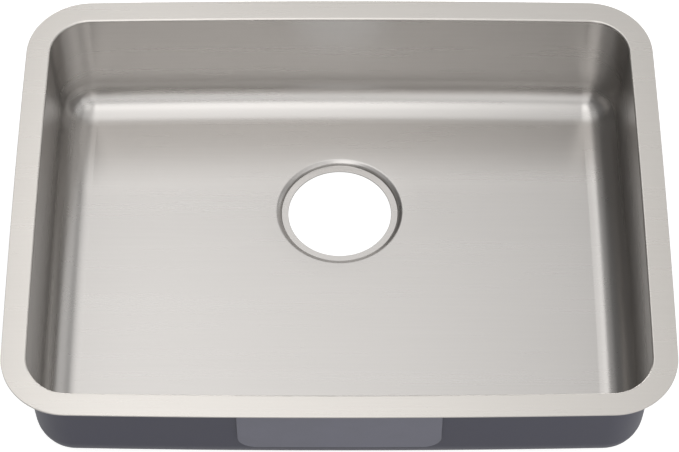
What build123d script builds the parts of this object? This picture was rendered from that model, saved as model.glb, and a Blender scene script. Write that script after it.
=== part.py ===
from build123d import *
import os
from math import cos, degrees, pi, radians, sin, tan

# Undermount kitchen sink: one bowl deep-drawn from stainless sheet, with a flat rim that bears on the
# underside of the worktop, and a recessed seat for the drain fitting, set back from the middle of the floor.
# An undercoat is sprayed on the outside of the bowl, and rubber sound pads are stuck to the undercoat.
#
# Millimetres and degrees. X runs from left to right, Y from the user's side to the wall side, Z up.
# The origin is the centre of the rim's top face.

# --- Rim ---------------------------------------------------------------------------------------------
RIM_LENGTH = 535.8          # along X, over the bowed ends
RIM_WIDTH = 415.1           # along Y, over the bowed sides
RIM_BAND = 20.2             # outer edge to the plane of the wall
LONG_SIDE_BOW = 2.25        # rise of the front and rear sides between their corners, which stiffens them
SHORT_SIDE_BOW = 1.05       # rise of the left and right sides
RIM_BEND_RADIUS = 4.0       # top surface, where the rim turns down into the wall
RIM_EDGE_BREAK = 0.3        # deburred cut edge

# --- Bowl --------------------------------------------------------------------------------------------
SHEET = 1.5                 # 16 gauge stainless
BOWL_DEPTH = 107.4          # rim's top face down to the flat floor
WALL_DRAFT = 2.5            # the bowl narrows downwards
BASE_RADIUS = 28.5          # inside surface, wall to floor
FLOOR_CORNER_RADIUS = 1.8   # corners of the flat floor, in plan. The upright corners widen out from these

# --- Drain seat --------------------------------------------------------------------------------------
DRAIN_TO_REAR_BEND = 93.2   # drain's axis to the rear edge of the flat floor
DRAIN_HOLE_RADIUS = 44.45   # takes a 3 1/2 inch drain fitting
LEDGE_WIDTH = 5.95          # ring round the hole that carries the fitting's flange
LEDGE_FALL = 12.0           # the ledge dips towards the hole
SEAT_SIDE_WIDTH = 3.6       # the slanted side round the ledge, in plan
SEAT_STEP = 3.0             # drop of that side
SEAT_LIP_RADIUS = 5.0       # inside surface, floor to side
SEAT_ROOT_RADIUS = 1.6      # inside surface, side to ledge
DISH_WIDTH = 18.0           # ring round the seat in which the floor falls towards it
DISH_FALL = 1.0

# --- Undercoat ---------------------------------------------------------------------------------------
COAT = 2.0
COAT_TOP = 8.0              # bare steel above this depth, under the rim
COAT_DRAIN_GAP = 2.0        # bare steel beyond the dished ring, for the fitting's washer

# --- Sound pads --------------------------------------------------------------------------------------
PAD = 3.0
PAD_CORNER_RADIUS = 15.0
WALL_PAD_TOP = 16.0         # upper edge of the wall pads, below the rim's top face
WALL_PAD_FOOT = 3.0         # from their lower edge down to the bend into the floor
LONG_PAD_LENGTH = 163.0     # front and rear pads
SHORT_PAD_LENGTH = 130.0    # left and right pads
BASE_PAD_MARGIN = 12.0      # from the base pads to the bends into the walls
BASE_PAD_GAP = 14.0         # between base pads
BASE_PAD_SETBACK = 6.0      # from the base pads to the bare circle round the drain

# The inside of the bowl is skin 0. The other surfaces lie parallel to it, further out.
COAT_SKIN = SHEET + COAT
PAD_SKIN = COAT_SKIN + PAD

# In section, an inset is measured inwards from the rim's outer edge.
DRAFT = radians(WALL_DRAFT)
BEND_INSET = BASE_RADIUS * tan((pi / 2 - DRAFT) / 2)
FLOOR_INSET = RIM_BAND + BOWL_DEPTH * tan(DRAFT) + BEND_INSET
RIM_CORNER_RADIUS = FLOOR_INSET + FLOOR_CORNER_RADIUS
FLOOR_HALF_LENGTH = RIM_LENGTH / 2 - FLOOR_INSET
FLOOR_HALF_WIDTH = RIM_WIDTH / 2 - FLOOR_INSET

DRAIN_Y = FLOOR_HALF_WIDTH - DRAIN_TO_REAR_BEND
LEDGE_RADIUS = DRAIN_HOLE_RADIUS + LEDGE_WIDTH
SEAT_MOUTH_RADIUS = LEDGE_RADIUS + SEAT_SIDE_WIDTH
DISH_RADIUS = SEAT_MOUTH_RADIUS + DISH_WIDTH
COAT_DRAIN_RADIUS = DISH_RADIUS + COAT_DRAIN_GAP


def bow_radius(side, bow):
    """Radius of a side's arc, from its rise over the stretch between the corners."""
    half = side / 2 - RIM_CORNER_RADIUS
    return (half**2 + bow**2) / (2 * bow)


def between_sides(inset):
    """The area between the rim's four shallow arcs, each moved inwards by an inset. Its corners are sharp."""
    long_radius = bow_radius(RIM_LENGTH, LONG_SIDE_BOW)
    short_radius = bow_radius(RIM_WIDTH, SHORT_SIDE_BOW)
    back = long_radius - RIM_WIDTH / 2
    right = short_radius - RIM_LENGTH / 2
    front_and_rear = Pos(0, back) * Circle(long_radius - inset) & Pos(0, -back) * Circle(long_radius - inset)
    ends = Pos(right, 0) * Circle(short_radius - inset) & Pos(-right, 0) * Circle(short_radius - inset)
    return front_and_rear & ends


def carry_round(section):
    """Turns a section of inset and height about the centre of each of the rim's eight arcs."""
    area = between_sides(0)
    turned = []
    for arc in fillet(area.vertices(), RIM_CORNER_RADIUS).edges():
        inward = arc.arc_center - arc @ 0.5
        across = Plane(arc @ 0.5, x_dir=inward, z_dir=inward.cross(Vector(0, 0, 1)))
        upright = Axis(arc.arc_center, (0, 0, 1))
        angle = degrees(arc.length / arc.radius)
        turned.append(revolve(across * section, upright, angle).rotate(upright, -angle / 2))
    return turned[0].fuse(*turned[1:])


def flat_floor(skin, thickness):
    """The middle of the floor, which the carried section leaves open. The arcs' corners end in it."""
    return extrude(Pos(0, 0, -BOWL_DEPTH - skin) * between_sides(RIM_CORNER_RADIUS), -thickness)


def drain_cylinder(radius):
    return Pos(0, DRAIN_Y, -BOWL_DEPTH) * Cylinder(radius, BOWL_DEPTH)


def drain_seat():
    """A ring of sheet that dishes down from the floor, steps down to a ledge and ends at the drain hole."""
    mouth_height = -BOWL_DEPTH - DISH_WIDTH * tan(radians(DISH_FALL))
    ledge_height = mouth_height - SEAT_STEP
    past_hole = DRAIN_HOLE_RADIUS - SHEET
    past_dish = DISH_RADIUS + SHEET
    surface = FilletPolyline(
        (past_hole, ledge_height - (LEDGE_RADIUS - past_hole) * tan(radians(LEDGE_FALL))),
        (LEDGE_RADIUS, ledge_height),
        (SEAT_MOUTH_RADIUS, mouth_height),
        (past_dish, mouth_height + (past_dish - SEAT_MOUTH_RADIUS) * tan(radians(DISH_FALL))),
        radius=[SEAT_ROOT_RADIUS, SEAT_LIP_RADIUS],
    )
    section = make_face(offset(surface, SHEET, side=Side.RIGHT))
    ring = Pos(0, DRAIN_Y) * Rot(0, 0, 90) * revolve(Plane.XZ * section, Axis.Z)
    return ring & drain_cylinder(DISH_RADIUS) - drain_cylinder(DRAIN_HOLE_RADIUS)


def bowl():
    """The drawn sheet: rim, walls, floor and drain seat, all of one thickness."""
    inside = FilletPolyline(
        (0, 0),
        (RIM_BAND, 0),
        (FLOOR_INSET - BEND_INSET, -BOWL_DEPTH),
        (RIM_CORNER_RADIUS, -BOWL_DEPTH),
        radius=[RIM_BEND_RADIUS, BASE_RADIUS],
    )
    section = make_face(offset(inside, SHEET, side=Side.RIGHT))
    section = chamfer(section.vertices().sort_by(Axis.X)[:2], RIM_EDGE_BREAK)
    drawn = carry_round(section) + flat_floor(0, SHEET)
    return drawn - drain_cylinder(DISH_RADIUS) + drain_seat()


def layer_section(skin, thickness, top):
    """A layer on the outside of the bowl, from a depth on the wall down to the flat floor."""
    inset = RIM_BAND - skin / cos(DRAFT)
    floor = BOWL_DEPTH + skin
    surface = FilletPolyline(
        (inset + top * tan(DRAFT), -top),
        (inset + floor * tan(DRAFT), -floor),
        (RIM_CORNER_RADIUS, -floor),
        radius=BASE_RADIUS + skin,
    )
    return make_face(offset(surface, thickness, side=Side.RIGHT))


def undercoat():
    """A sprayed skin on the outside of the bowl, from below the rim down to the ring round the drain."""
    skin = carry_round(layer_section(SHEET, COAT, COAT_TOP)) + flat_floor(SHEET, COAT)
    return skin - drain_cylinder(COAT_DRAIN_RADIUS)


def wall_pad(layer, length, turn):
    """A pad on the middle of a wall: the front one, turned about the bowl's centre."""
    bottom = BOWL_DEPTH - BASE_RADIUS * (1 - sin(DRAFT)) - WALL_PAD_FOOT
    height = bottom - WALL_PAD_TOP
    outline = Pos(0, -WALL_PAD_TOP - height / 2) * RectangleRounded(length, height, PAD_CORNER_RADIUS)
    return layer & Rot(0, 0, turn) * extrude(Plane.XZ * outline, RIM_LENGTH)


def base_pad(left, right, front, rear):
    """A pad under the flat floor, from the places of its four sides."""
    outline = RectangleRounded(right - left, rear - front, PAD_CORNER_RADIUS)
    return extrude(Pos((left + right) / 2, (front + rear) / 2, -BOWL_DEPTH - COAT_SKIN) * outline, -PAD)


def pads():
    layer = carry_round(layer_section(COAT_SKIN, PAD, COAT_TOP))
    end = FLOOR_HALF_LENGTH - BASE_PAD_MARGIN
    side = FLOOR_HALF_WIDTH - BASE_PAD_MARGIN
    beside_drain = COAT_DRAIN_RADIUS + BASE_PAD_SETBACK
    before_drain = DRAIN_Y - beside_drain
    return {
        "front_pad": wall_pad(layer, LONG_PAD_LENGTH, 0),
        "right_pad": wall_pad(layer, SHORT_PAD_LENGTH, 90),
        "rear_pad": wall_pad(layer, LONG_PAD_LENGTH, 180),
        "left_pad": wall_pad(layer, SHORT_PAD_LENGTH, 270),
        "front_base_pad": base_pad(-end, end, -side, before_drain),
        "left_base_pad": base_pad(-end, -beside_drain, before_drain + BASE_PAD_GAP, side),
        "right_base_pad": base_pad(beside_drain, end, before_drain + BASE_PAD_GAP, side),
    }


pieces = {"bowl": bowl(), "undercoat": undercoat(), **pads()}
os.makedirs("parts", exist_ok=True)
for name, piece in pieces.items():
    export_step(piece, f"parts/{name}.step")
    print(name, round(piece.volume), piece.bounding_box())
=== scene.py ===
from math import atan2, cos, hypot, pi, radians, sin, sqrt, tan

import bmesh
import bpy
from mathutils import Matrix, Vector
from mathutils.geometry import intersect_sphere_sphere_2d


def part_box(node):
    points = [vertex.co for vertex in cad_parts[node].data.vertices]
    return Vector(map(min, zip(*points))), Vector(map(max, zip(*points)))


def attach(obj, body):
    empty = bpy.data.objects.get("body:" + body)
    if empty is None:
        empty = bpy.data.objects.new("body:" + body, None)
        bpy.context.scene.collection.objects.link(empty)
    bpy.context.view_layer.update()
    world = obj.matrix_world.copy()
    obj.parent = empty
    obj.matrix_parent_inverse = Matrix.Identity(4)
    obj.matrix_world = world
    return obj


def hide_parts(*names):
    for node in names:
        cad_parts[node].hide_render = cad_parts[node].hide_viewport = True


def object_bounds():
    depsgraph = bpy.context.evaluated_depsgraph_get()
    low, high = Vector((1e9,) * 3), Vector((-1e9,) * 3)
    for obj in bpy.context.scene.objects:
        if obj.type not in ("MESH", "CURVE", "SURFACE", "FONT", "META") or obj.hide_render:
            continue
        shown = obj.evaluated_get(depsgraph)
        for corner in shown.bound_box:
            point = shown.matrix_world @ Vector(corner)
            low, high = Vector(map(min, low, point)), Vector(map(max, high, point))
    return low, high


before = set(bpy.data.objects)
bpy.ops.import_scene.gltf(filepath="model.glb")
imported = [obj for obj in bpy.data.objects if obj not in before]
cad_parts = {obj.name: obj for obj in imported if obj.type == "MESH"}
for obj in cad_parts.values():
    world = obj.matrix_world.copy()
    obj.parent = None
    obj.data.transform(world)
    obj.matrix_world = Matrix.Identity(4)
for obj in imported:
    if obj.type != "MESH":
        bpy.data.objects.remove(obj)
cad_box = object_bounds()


# --- Bowl --------------------------------------------------------------------------------------------
# One blank of 16 gauge stainless sheet, drawn over a punch: a flat rim, bowed sides, drafted walls and a wide
# bend into the floor. The seat for the drain fitting is pressed into the floor and pierced, and the inside is
# then brushed with a fine belt, lengthwise on the rim and floor and level round the walls.

MM = 0.001
CLOSE = 1e-6                    # points nearer than this, in metres, are one
SHEET = 1.5 * MM
RIM_BAND = 20.2 * MM            # outer edge to the plane of the wall
RIM_BEND = 1.8 * MM
CUT_EDGE = 0.3 * MM             # deburred
FLOOR = -107.4 * MM
DRAFT = radians(2.5)
BASE_BEND = 28.5 * MM
FLOOR_CORNER = 1.8 * MM         # the upright corners widen out from it
FLOOR_INSET = RIM_BAND - FLOOR * tan(DRAFT) + BASE_BEND * tan((pi / 2 - DRAFT) / 2)
RIM_CORNER = FLOOR_INSET + FLOOR_CORNER
FLOOR_END = FLOOR_INSET + 0.01 * MM     # where the carried section stops, just past the bend
LONG_BOW = 2.25 * MM            # rise of the front and rear sides between the corners
SHORT_BOW = 1.05 * MM
DRAIN_Y = 62.2 * MM
HOLE_RADIUS = 44.45 * MM
LEDGE_RADIUS = 50.3 * MM        # the level ledge carries the flange of the drain fitting
LEDGE_STEP = 2.5 * MM           # steep side round the ledge
SLOPE_RADIUS = 51.2 * MM
SLOPE_STEP = 1.7 * MM           # slanted side above it
MOUTH_RADIUS = 54.2 * MM
SEAT_BENDS = [4 * MM, 1.7 * MM, 0.5 * MM]   # mouth, top and foot of the steep side
DISH_RADIUS = 72 * MM
DISH_FALL = radians(1)
FRONT_FACETS, CORNER_FACETS, END_FACETS = 16, 24, 12    # half the front side, a corner, half the right end
BEND_FACETS = 14
SEAT_FACETS = 8

rim_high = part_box("bowl")[1]
HALF_LENGTH = rim_high.x
HALF_WIDTH = rim_high.y


def bow_radius(half_side, bow):
    half = half_side - RIM_CORNER
    return (half**2 + bow**2) / (2 * bow)


FRONT_RADIUS = bow_radius(HALF_LENGTH, LONG_BOW)
END_RADIUS = bow_radius(HALF_WIDTH, SHORT_BOW)
FRONT_CENTRE = Vector((0, FRONT_RADIUS - HALF_WIDTH))
END_CENTRE = Vector((HALF_LENGTH - END_RADIUS, 0))


def rounded(points, radii, steps):
    """A line through points, with the inner ones rounded to radii in as many steps."""
    points = [Vector(point) for point in points]
    line = [points[0]]
    for before, corner, after, radius in zip(points, points[1:], points[2:], radii):
        arrive = (corner - before).normalized()
        leave = (after - corner).normalized()
        turn = arrive.angle(leave)
        inward = (leave - arrive * cos(turn)).normalized()
        start = corner - arrive * radius * tan(turn / 2)
        for step in range(steps + 1):
            swing = turn * step / steps
            line.append(start + arrive * radius * sin(swing) + inward * radius * (1 - cos(swing)))
    line.append(points[-1])
    return line


def draw_line(bm, places):
    verts = [bm.verts.new(place) for place in places]
    return verts + [bm.edges.new(pair) for pair in zip(verts, verts[1:])]


def carry_round(bm, section):
    """Spins a section of inset and height past half the front side, a corner and half the right end, and
    mirrors the quarter both ways."""
    meeting = intersect_sphere_sphere_2d(
        FRONT_CENTRE, FRONT_RADIUS - RIM_CORNER, END_CENTRE, END_RADIUS - RIM_CORNER
    )
    corner = min(meeting, key=lambda place: place.y)
    front_turn = atan2(corner.x - FRONT_CENTRE.x, FRONT_CENTRE.y - corner.y)
    end_turn = atan2(END_CENTRE.y - corner.y, corner.x - END_CENTRE.x)
    moving = draw_line(bm, [(0, inset - HALF_WIDTH, height) for inset, height in section])
    for centre, turn, steps in [
        (FRONT_CENTRE, front_turn, FRONT_FACETS),
        (corner, pi / 2 - front_turn - end_turn, CORNER_FACETS),
        (END_CENTRE, end_turn, END_FACETS),
    ]:
        spun = bmesh.ops.spin(bm, geom=moving, cent=(*centre, 0), axis=(0, 0, 1), angle=turn, steps=steps)
        moving = spun["geom_last"]
    for axis in "XY":
        bmesh.ops.mirror(bm, geom=bm.verts[:] + bm.edges[:] + bm.faces[:], axis=axis, merge_dist=CLOSE)


def press_drain(bm, section):
    """Spins a section of radius and height round the drain, and joins its outer ring to the open edge in the
    floor of what was carried round."""
    low = min(vert.co.z for vert in bm.verts)
    floor_edge = [
        edge for edge in bm.edges if edge.is_boundary and max(v.co.z for v in edge.verts) < low + CLOSE
    ]
    carried = set(bm.edges)
    line = draw_line(bm, [(radius, DRAIN_Y, height) for radius, height in section])
    bmesh.ops.spin(
        bm,
        geom=line,
        cent=(0, DRAIN_Y, 0),
        axis=(0, 0, 1),
        angle=2 * pi,
        steps=len(floor_edge),
        use_merge=True,
    )
    outer = section[0][0] - CLOSE
    ring = [
        edge
        for edge in set(bm.edges) - carried
        if len(edge.link_faces) < 2 and min(hypot(v.co.x, v.co.y - DRAIN_Y) for v in edge.verts) > outer
    ]
    bmesh.ops.bridge_loops(bm, edges=floor_edge + ring)


def finish_piece(bm, name, node, material):
    """The mesh as an object that stands for a CAD node, takes a finish and rides on the sink."""
    mesh = bpy.data.meshes.new(name)
    bm.to_mesh(mesh)
    bm.free()
    mesh.shade_smooth()
    mesh.materials.append(material)
    piece = bpy.data.objects.new(name, mesh)
    bpy.context.scene.collection.objects.link(piece)
    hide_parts(node)
    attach(piece, "root")
    return piece


def thicken(piece, thickness, edge_radius):
    """Gives a skin its thickness on its outer side, and rounds its cut edges."""
    wall = piece.modifiers.new("wall", "SOLIDIFY")
    wall.thickness = thickness
    wall.offset = -1
    wall.use_even_offset = True
    edge = piece.modifiers.new("edge", "BEVEL")
    edge.width = edge_radius
    edge.segments = 3
    edge.limit_method = "ANGLE"
    edge.angle_limit = radians(60)
    piece.modifiers.new("flats", "WEIGHTED_NORMAL")


def face_inwards(bm):
    """Merges the seams and turns the faces towards the inside of the bowl, so the floor faces up."""
    bmesh.ops.remove_doubles(bm, verts=bm.verts, dist=CLOSE)
    bmesh.ops.recalc_face_normals(bm, faces=bm.faces)
    floor = min(bm.faces, key=lambda face: face.calc_center_median().z)
    if floor.normal.z < 0:
        bmesh.ops.reverse_faces(bm, faces=bm.faces)


def linear(colour):
    """An sRGB hex colour as linear red, green, blue and alpha."""
    parts = [int(colour[place:place + 2], 16) / 255 for place in (1, 3, 5)]
    return [part / 12.92 if part <= 0.04045 else ((part + 0.055) / 1.055) ** 2.4 for part in parts] + [1]


def add(tree, kind, sockets, **settings):
    """A node with its settings, and its sockets set or linked by name or number."""
    made = tree.nodes.new("ShaderNode" + kind)
    for name, value in settings.items():
        setattr(made, name, value)
    for name, value in sockets.items():
        if isinstance(value, bpy.types.NodeSocket):
            tree.links.new(value, made.inputs[name])
        else:
            made.inputs[name].default_value = value
    return made


# Type 304 stainless steel with a fine brushed finish. It is a warm, pale grey metal, and its reflections are
# soft and a little longer across the belt lines than along them. Its colour is paler at the top, on the rim.
PALE_TOP_HEIGHT = -0.5 * MM        # from here up the sheet is as pale as the rim
WALL_TONE_HEIGHT = -2 * MM         # from here down it has the tone of the walls
steel = bpy.data.materials.new("brushed_stainless_steel")
steel.use_nodes = True
tree = steel.node_tree
shader = tree.nodes["Principled BSDF"]
shader.inputs["Metallic"].default_value = 1
shader.inputs["Anisotropic"].default_value = 0.3
shader.inputs["Anisotropic Rotation"].default_value = 0.25
place = add(tree, "TexCoord", {})
facing = add(tree, "SeparateXYZ", {0: place.outputs["Normal"]})
steepness = add(tree, "Math", {0: facing.outputs["Z"]}, operation="ABSOLUTE")
flatness = add(
    tree,
    "MapRange",
    {"Value": steepness.outputs[0], "From Min": 0.6, "From Max": 0.95},
    interpolation_type="SMOOTHSTEP",
).outputs["Result"]


def belt_lines(width, length, detail):
    """Lines of a width and length in metres, lengthwise where the sheet lies flat and level on its walls."""
    both = []
    for size in [(length, width, width), (length, length, width)]:
        scale = [1 / side for side in size]
        spaced = add(tree, "Mapping", {"Vector": place.outputs["Object"], "Scale": scale})
        lines = add(
            tree, "TexNoise", {"Vector": spaced.outputs[0], "Scale": 1, "Detail": detail, "Roughness": 0.6}
        )
        both.append(lines.outputs["Fac"])
    mixed = add(tree, "Mix", {"Factor": flatness, "A": both[1], "B": both[0]})
    return mixed.outputs["Result"]


fine = belt_lines(0.8 * MM, 120 * MM, 1)        # 180 grit leaves lines 0.05 mm wide: drawn coarser to show
streaks = belt_lines(2.4 * MM, 110 * MM, 2)     # overlapping belt passes
passes = belt_lines(14 * MM, 420 * MM, 1)       # one width of the belt's wear beside the next
tone = add(tree, "MapRange", {"Value": streaks, "From Min": 0.3, "From Max": 0.7})
inside = add(
    tree, "Mix", {"Factor": tone.outputs[0], "A": linear("#BBB8B5"), "B": linear("#BDBAB7")}, data_type="RGBA"
)
# the sheet's paler colour at the top, on the rim
pale_top = add(
    tree, "Mix", {"Factor": tone.outputs[0], "A": linear("#C5C1BC"), "B": linear("#C7C3BE")}, data_type="RGBA"
)
height = add(tree, "SeparateXYZ", {0: place.outputs["Object"]})
# fades from the walls' colour at the lower height to the paler top colour at the upper height
rim = add(
    tree, "MapRange", {"Value": height.outputs["Z"], "From Min": WALL_TONE_HEIGHT, "From Max": PALE_TOP_HEIGHT}
)
colour = add(
    tree,
    "Mix",
    {"Factor": rim.outputs[0], "A": inside.outputs["Result"], "B": pale_top.outputs["Result"]},
    data_type="RGBA",
)
tree.links.new(colour.outputs["Result"], shader.inputs["Base Color"])
worn = add(tree, "Math", {0: passes, 1: streaks}, operation="ADD")
gloss = add(
    tree,
    "MapRange",
    {"Value": worn.outputs[0], "From Min": 0.6, "From Max": 1.4, "To Min": 0.27, "To Max": 0.285},
)
tree.links.new(gloss.outputs[0], shader.inputs["Roughness"])
relief = add(tree, "Bump", {"Height": fine, "Strength": 0.5, "Distance": 0.0025 * MM})
tree.links.new(relief.outputs[0], shader.inputs["Normal"])
level = add(tree, "VectorMath", {0: place.outputs["Normal"], 1: (0, 0, 1)}, operation="CROSS_PRODUCT")
along = add(tree, "Mix", {"Factor": flatness, "A": level.outputs[0], "B": (1, 0, 0)}, data_type="VECTOR")
tree.links.new(along.outputs["Result"], shader.inputs["Tangent"])

bowl = bmesh.new()
carry_round(
    bowl,
    rounded(
        [(0, 0), (RIM_BAND, 0), (RIM_BAND - FLOOR * tan(DRAFT), FLOOR), (FLOOR_END, FLOOR)],
        [RIM_BEND, BASE_BEND],
        BEND_FACETS,
    ),
)
mouth = FLOOR - (DISH_RADIUS - MOUTH_RADIUS) * tan(DISH_FALL)
ledge = mouth - SLOPE_STEP - LEDGE_STEP
press_drain(
    bowl,
    rounded(
        [
            (DISH_RADIUS, FLOOR),
            (MOUTH_RADIUS, mouth),
            (SLOPE_RADIUS, mouth - SLOPE_STEP),
            (LEDGE_RADIUS, ledge),
            (HOLE_RADIUS, ledge),
        ],
        SEAT_BENDS,
        SEAT_FACETS,
    ),
)
face_inwards(bowl)
bowl_sheet = finish_piece(bowl, "bowl_sheet", "bowl", steel)
thicken(bowl_sheet, SHEET, CUT_EDGE)


# --- Undercoat ---------------------------------------------------------------------------------------
# Water-based acrylic paint, sprayed on the outside of the bowl from below the rim down to the drain seat and
# dried to a skin. It deadens the sheet and stops condensation.

COAT = 2 * MM
COAT_EDGE = 0.8 * MM            # the spray's edge is soft
COAT_TOP = -8 * MM
COAT_DRAIN_RADIUS = 74 * MM
COAT_FACETS = 12


def layer_line(skin, top, steps):
    """The section of a surface one skin away from the bowl's inside, from a height down to the floor."""
    inset = RIM_BAND - skin / cos(DRAFT)
    floor = FLOOR - skin
    return rounded(
        [(inset - top * tan(DRAFT), top), (inset - floor * tan(DRAFT), floor), (FLOOR_END, floor)],
        [BASE_BEND + skin],
        steps,
    )


# Slate grey acrylic with chalk in it: dull, dark, a little blue, with the fine orange peel of a heavy spray.
coat = bpy.data.materials.new("sprayed_acrylic_undercoat")
coat.use_nodes = True
tree = coat.node_tree
shader = tree.nodes["Principled BSDF"]
place = add(tree, "TexCoord", {})
peel = add(
    tree,
    "TexNoise",
    {"Vector": place.outputs["Object"], "Scale": 1 / (2.2 * MM), "Detail": 2, "Roughness": 0.45},
)
chalk = add(tree, "TexNoise", {"Vector": place.outputs["Object"], "Scale": 1 / (0.5 * MM), "Detail": 1})
drift = add(tree, "TexNoise", {"Vector": place.outputs["Object"], "Scale": 1 / (45 * MM), "Detail": 2})
colour = add(
    tree,
    "Mix",
    {"Factor": drift.outputs["Fac"], "A": linear("#363646"), "B": linear("#404051")},
    data_type="RGBA",
)
tree.links.new(colour.outputs["Result"], shader.inputs["Base Color"])
dullness = add(tree, "MapRange", {"Value": drift.outputs["Fac"], "To Min": 0.38, "To Max": 0.48})
tree.links.new(dullness.outputs[0], shader.inputs["Roughness"])
height = add(
    tree, "Math", {0: chalk.outputs["Fac"], 1: 0.15, 2: peel.outputs["Fac"]}, operation="MULTIPLY_ADD"
)
relief = add(tree, "Bump", {"Height": height.outputs[0], "Strength": 0.6, "Distance": 0.05 * MM})
tree.links.new(relief.outputs[0], shader.inputs["Normal"])

skin = bmesh.new()
carry_round(skin, layer_line(SHEET, COAT_TOP, COAT_FACETS))
press_drain(skin, [(COAT_DRAIN_RADIUS, FLOOR - SHEET)])
face_inwards(skin)
undercoat = finish_piece(skin, "undercoat_skin", "undercoat", coat)
thicken(undercoat, COAT, COAT_EDGE)


# --- Sound pads --------------------------------------------------------------------------------------
# Sheets of filled rubber, die-cut with rounded corners and stuck to the undercoat: one in the middle of each
# wall and three under the floor, on which the sink also stands. They damp the drumming of water.

PAD = 3 * MM
PAD_CORNER = 15 * MM
PAD_EDGE = 0.7 * MM
WALL_PAD_TOP = -16 * MM
WALL_PAD_FOOT = 3 * MM          # down to the bend into the floor
WALL_PAD_STRIPS = 16            # bent with the bowed wall
LONG_PAD, SHORT_PAD = 163 * MM, 130 * MM
BASE_PAD_MARGIN = 12 * MM
BASE_PAD_GAP = 14 * MM
BASE_PAD_SETBACK = 6 * MM

# Grey filled butyl rubber, rolled to a smooth satin sheet. It is paler and duller than the coat.
rubber = bpy.data.materials.new("rolled_butyl_rubber")
rubber.use_nodes = True
tree = rubber.node_tree
shader = tree.nodes["Principled BSDF"]
place = add(tree, "TexCoord", {})
cloud = add(tree, "TexNoise", {"Vector": place.outputs["Object"], "Scale": 1 / (18 * MM), "Detail": 3})
speckle = add(tree, "TexNoise", {"Vector": place.outputs["Object"], "Scale": 1 / (0.6 * MM), "Detail": 1})
colour = add(
    tree,
    "Mix",
    {"Factor": cloud.outputs["Fac"], "A": linear("#74747F"), "B": linear("#80808D")},
    data_type="RGBA",
)
tree.links.new(colour.outputs["Result"], shader.inputs["Base Color"])
dullness = add(tree, "MapRange", {"Value": cloud.outputs["Fac"], "To Min": 0.45, "To Max": 0.58})
tree.links.new(dullness.outputs[0], shader.inputs["Roughness"])
relief = add(tree, "Bump", {"Height": speckle.outputs["Fac"], "Strength": 0.4, "Distance": 0.02 * MM})
tree.links.new(relief.outputs[0], shader.inputs["Normal"])


def cut_pad(left, right, low, high):
    """A flat pad between four sides, on its back, with its corners and its upper edge rounded."""
    bm = bmesh.new()
    bmesh.ops.create_grid(bm, x_segments=1, y_segments=1, size=0.5)
    bmesh.ops.scale(bm, vec=(right - left, high - low, 1), verts=bm.verts)
    bmesh.ops.translate(bm, vec=((left + right) / 2, (low + high) / 2, 0), verts=bm.verts)
    bmesh.ops.bevel(
        bm, geom=bm.verts[:], offset=PAD_CORNER, affect="VERTICES", segments=10, profile=0.5, material=-1
    )
    raised = bmesh.ops.extrude_face_region(bm, geom=bm.faces[:], use_keep_orig=True)["geom"]
    raised_verts = [item for item in raised if isinstance(item, bmesh.types.BMVert)]
    bmesh.ops.translate(bm, vec=(0, 0, PAD), verts=raised_verts)
    upper = [edge for edge in bm.edges if min(vert.co.z for vert in edge.verts) > PAD / 2]
    bmesh.ops.bevel(bm, geom=upper, offset=PAD_EDGE, affect="EDGES", segments=3, profile=0.5, material=-1)
    return bm


foot = FLOOR + BASE_BEND * (1 - sin(DRAFT)) + WALL_PAD_FOOT
for name, length, radius, centre, turn in [
    ("front_pad", LONG_PAD, FRONT_RADIUS, FRONT_CENTRE.y, 0),
    ("right_pad", SHORT_PAD, END_RADIUS, -END_CENTRE.x, 90),
    ("rear_pad", LONG_PAD, FRONT_RADIUS, FRONT_CENTRE.y, 180),
    ("left_pad", SHORT_PAD, END_RADIUS, -END_CENTRE.x, 270),
]:
    pad = cut_pad(-length / 2, length / 2, foot, WALL_PAD_TOP)
    for cut in range(1, WALL_PAD_STRIPS):
        bmesh.ops.bisect_plane(
            pad,
            geom=pad.verts[:] + pad.edges[:] + pad.faces[:],
            plane_co=(length * (cut / WALL_PAD_STRIPS - 0.5), 0, 0),
            plane_no=(1, 0, 0),
        )
    for vert in pad.verts:
        x, z, out = vert.co
        inset = RIM_BAND - (SHEET + COAT + out) / cos(DRAFT) - z * tan(DRAFT)
        vert.co = (x, centre - sqrt((radius - inset) ** 2 - x**2), z)
    bmesh.ops.rotate(pad, cent=(0, 0, 0), matrix=Matrix.Rotation(radians(turn), 3, "Z"), verts=pad.verts)
    bmesh.ops.recalc_face_normals(pad, faces=pad.faces)
    piece = finish_piece(pad, name + "_rubber", name, rubber)
    piece.modifiers.new("flats", "WEIGHTED_NORMAL")

end = HALF_LENGTH - FLOOR_INSET - BASE_PAD_MARGIN
side = HALF_WIDTH - FLOOR_INSET - BASE_PAD_MARGIN
beside_drain = COAT_DRAIN_RADIUS + BASE_PAD_SETBACK
before_drain = DRAIN_Y - beside_drain
for name, sides in [
    ("front_base_pad", (-end, end, -side, before_drain)),
    ("left_base_pad", (-end, -beside_drain, before_drain + BASE_PAD_GAP, side)),
    ("right_base_pad", (beside_drain, end, before_drain + BASE_PAD_GAP, side)),
]:
    pad = cut_pad(*sides)
    for vert in pad.verts:
        vert.co.z = FLOOR - SHEET - COAT - vert.co.z
    pad.normal_update()
    bmesh.ops.recalc_face_normals(pad, faces=pad.faces)
    piece = finish_piece(pad, name + "_rubber", name, rubber)
    piece.modifiers.new("flats", "WEIGHTED_NORMAL")


# --- Studio floor ------------------------------------------------------------------------------------
# A plain matt white floor, on which the sink stands. It glows just enough to show white to the camera, and
# less in what mirrors it, because the sink's own shade lies there. The shadow at the sink's foot stays.

FLOOR_SIZE = 80                 # metres, so that its edge stays out of low views
WHITE_GLOW = 0.85
MIRRORED_GLOW = 0.45

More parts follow.
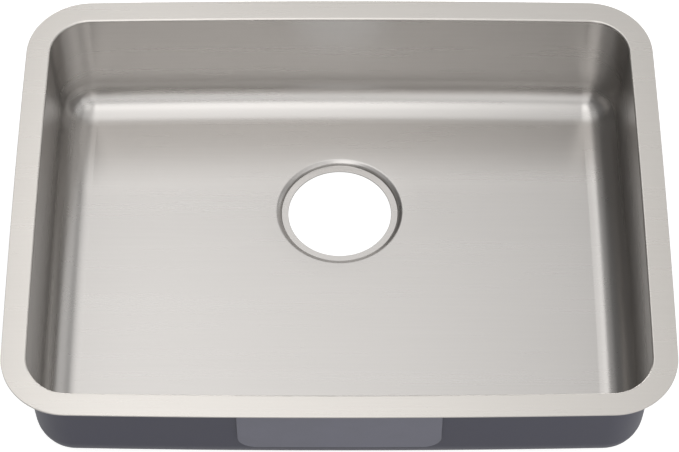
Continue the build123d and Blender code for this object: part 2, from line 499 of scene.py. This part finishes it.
floor_paint = bpy.data.materials.new("matt_white_floor")
floor_paint.use_nodes = True
tree = floor_paint.node_tree
shader = tree.nodes["Principled BSDF"]
shader.inputs["Base Color"].default_value = linear("#B4B4B4")
shader.inputs["Roughness"].default_value = 1
shader.inputs["Specular IOR Level"].default_value = 0
rays = add(tree, "LightPath", {})
mirrored = add(
    tree,
    "Math",
    {0: rays.outputs["Is Glossy Ray"], 1: rays.outputs["Is Transmission Ray"]},
    operation="MAXIMUM",
)
shaded = add(tree, "Math", {0: mirrored.outputs[0], 1: MIRRORED_GLOW}, operation="MULTIPLY")
glow = add(
    tree,
    "Math",
    {0: rays.outputs["Is Camera Ray"], 1: WHITE_GLOW, 2: shaded.outputs[0]},
    operation="MULTIPLY_ADD",
)
shader.inputs["Emission Color"].default_value = linear("#FFFFFF")
tree.links.new(glow.outputs[0], shader.inputs["Emission Strength"])

ground = bmesh.new()
bmesh.ops.create_grid(ground, x_segments=1, y_segments=1, size=FLOOR_SIZE / 2)
bmesh.ops.translate(ground, vec=(0, 0, cad_box[0][2] - 0.01 * MM), verts=ground.verts)
mesh = bpy.data.meshes.new("studio_floor")
ground.to_mesh(mesh)
ground.free()
mesh.materials.append(floor_paint)
studio_floor = bpy.data.objects.new("studio_floor", mesh)
bpy.context.scene.collection.objects.link(studio_floor)


# --- Studio light ------------------------------------------------------------------------------------
# Soft boxes under the ceiling and round the walls of a dim studio. Under the ceiling the left and middle ones
# are brighter than the right ones, so the steel shades from left to right. The left wall is bare.

world = bpy.data.worlds.new("dim_studio")
world.use_nodes = True
background = world.node_tree.nodes["Background"]
background.inputs["Color"].default_value = linear("#FFFFFF")
background.inputs["Strength"].default_value = 0.17
bpy.context.scene.world = world


def soft_box(name, place, wide, high, brightness):
    """A soft box that faces down, in metres. A brightness of 1 looks white."""
    lamp = bpy.data.lights.new(name, "AREA")
    lamp.shape = "RECTANGLE"
    lamp.size = wide
    lamp.size_y = high
    lamp.energy = pi * wide * high * brightness
    box = bpy.data.objects.new(name, lamp)
    box.location = place
    bpy.context.scene.collection.objects.link(box)
    return box


# Three rows of boxes under the ceiling, each from left to right, with the columns' places and widths.
CEILING = 1.6
ROW_DEPTH = 1.1
columns = [
    ("far_left", -1.15, 1.1),
    ("left", -0.4, 0.4),
    ("middle", 0, 0.4),
    ("right", 0.4, 0.4),
    ("far_right", 1.15, 1.1),
]
for row, y, brightnesses in [
    ("rear", 1.1, (0.27, 1.55, 1.26, 1, 0.35)),
    ("middle", 0, (0.5, 1.57, 1.44, 0.79, 0.71)),
    ("front", -1.1, (0.32, 2.08, 1.98, 0.77, 1.34)),
]:
    for (column, x, wide), brightness in zip(columns, brightnesses):
        soft_box(f"ceiling_{row}_{column}", (x, y, CEILING), wide, ROW_DEPTH, brightness)

# Boxes on stands, turned to the sink.
for name, place, wide, high, brightness in [
    ("front_panel", (0, -1.8, 0.75), 1.6, 1.1, 1.16),
    ("front_right_panel", (1.4, -1.4, 0.75), 1.2, 1.1, 0.97),
    ("right_panel", (1.9, 0, 0.75), 1.8, 1.2, 0.67),
    ("rear_right_panel", (1.3, 1.3, 0.75), 1.2, 1.1, 0.72),
    ("rear_panel_left", (-0.5, 1.8, 1), 0.9, 0.8, 0.38),
    ("rear_panel_right", (0.5, 1.8, 1), 0.9, 0.8, 0.54),
    ("low_rear_strip_left", (-0.6, 1.9, 0.28), 1.1, 0.5, 5.29),
    ("low_rear_strip_right", (0.6, 1.9, 0.28), 1.1, 0.5, 3.95),
]:
    panel = soft_box(name, place, wide, high, brightness)
    panel.rotation_euler = Vector(place).to_track_quat("Z", "Y").to_euler()


# --- Camera ------------------------------------------------------------------------------------------
# It stands in front of the sink and looks down into it from 55 degrees, as in the photograph. Its focal
# length and the place where its axis meets the image are in pixels, its distance in metres, its turns in
# radians.

IMAGE_WIDTH, IMAGE_HEIGHT = 679, 452
FOCAL_LENGTH = 2709.1
SENSOR = 36
AXIS_X, AXIS_Y = 339.46, 197.94
DISTANCE = 2.2205
HEADING = 0.0028
PITCH = 0.9608
ROLL = -0.0025

camera_data = bpy.data.cameras.new("camera")
camera_data.sensor_width = SENSOR
camera_data.lens = FOCAL_LENGTH / IMAGE_WIDTH * SENSOR
camera_data.shift_x = (IMAGE_WIDTH / 2 - AXIS_X) / IMAGE_WIDTH
camera_data.shift_y = (AXIS_Y - IMAGE_HEIGHT / 2) / IMAGE_WIDTH
camera_data.clip_end = 100
camera = bpy.data.objects.new("camera", camera_data)
bpy.context.scene.collection.objects.link(camera)
camera.matrix_world = (
    Matrix.Rotation(HEADING, 4, "Z")
    @ Matrix.Rotation(pi / 2 - PITCH, 4, "X")
    @ Matrix.Translation((0, 0, DISTANCE))
    @ Matrix.Rotation(ROLL, 4, "Z")
)
bpy.context.scene.camera = camera
bpy.context.scene.view_settings.view_transform = "Standard"
